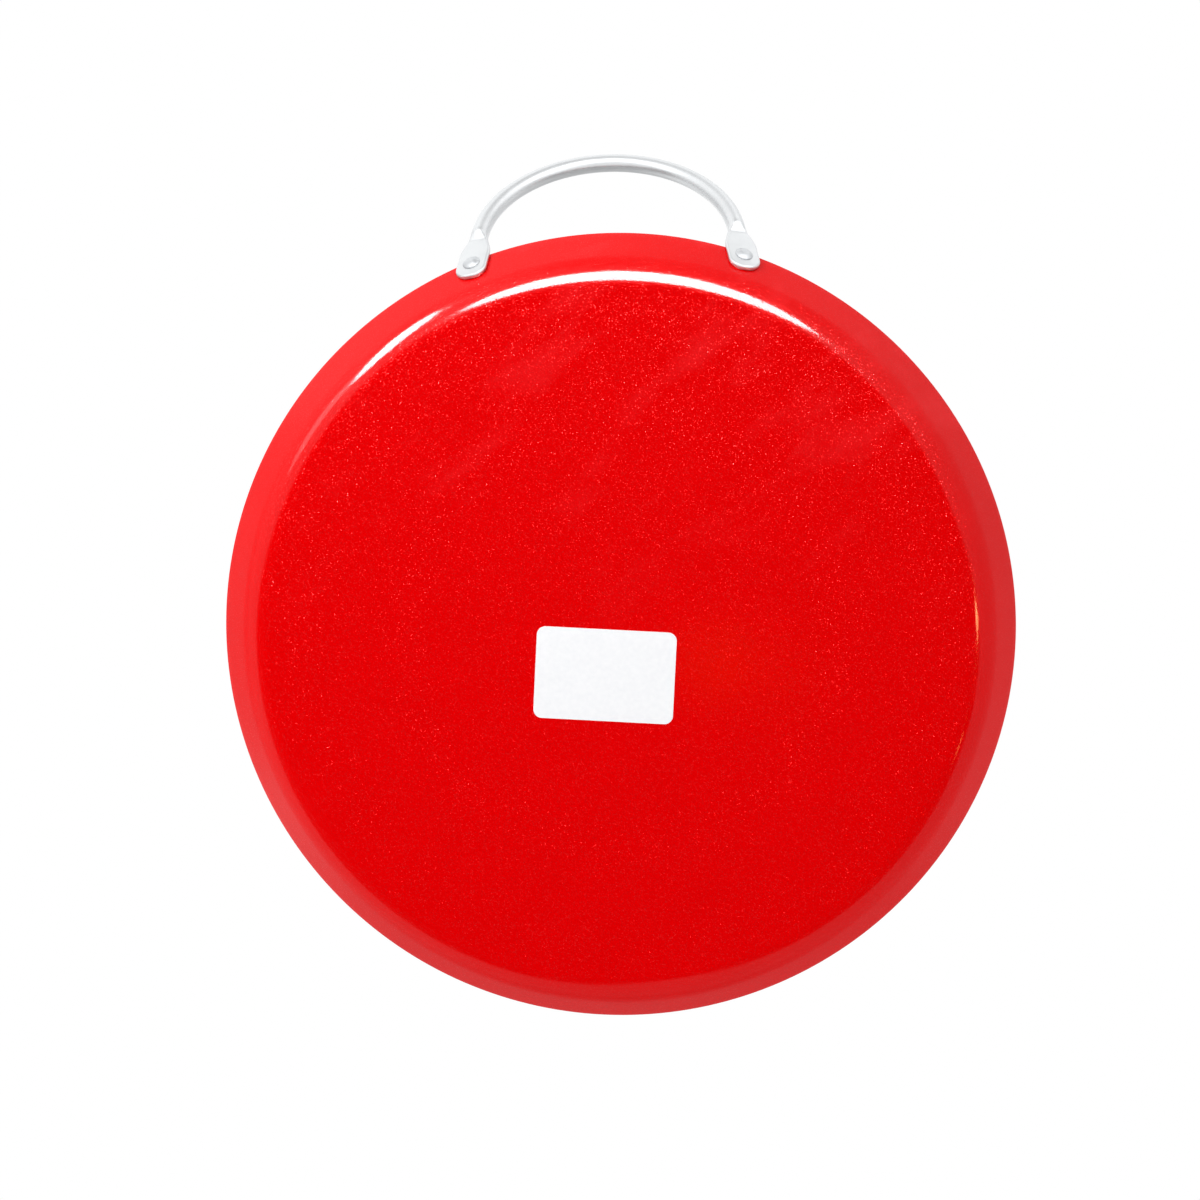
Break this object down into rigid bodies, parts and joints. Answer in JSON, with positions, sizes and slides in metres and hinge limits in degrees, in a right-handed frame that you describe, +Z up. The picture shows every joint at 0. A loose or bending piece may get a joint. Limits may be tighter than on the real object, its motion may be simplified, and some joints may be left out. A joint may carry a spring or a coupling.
{
  "type": "comal",
  "caption": "Low round comal pressed from sheet metal, with a speckled red coating outside, a flared wall, an arched tube handle riveted to the wall and a plain paper label under the base.",
  "frame": {"origin": "on the pan's axis, in the plane of the flat ring that the pan rests on", "axes": "+Z up with the cooking side up, +Y from the pan's axis toward the handle, +X to the right seen from above with the handle away from the viewer"},
  "size_m": [0.28, 0.3071, 0.061],
  "materials": {
    "red_coating": "glossy red baked coating with fine light specks, on aluminium sheet",
    "satin_aluminium": "satin tube",
    "rivet_aluminium": "bright, formed heads",
    "label_paper": "plain white coated paper"
  },
  "bodies": {
    "root": {"pan": "red_coating", "handle": "satin_aluminium", "rivet_left": "rivet_aluminium", "rivet_right": "rivet_aluminium", "label": "label_paper"}
  },
  "joints": []
}
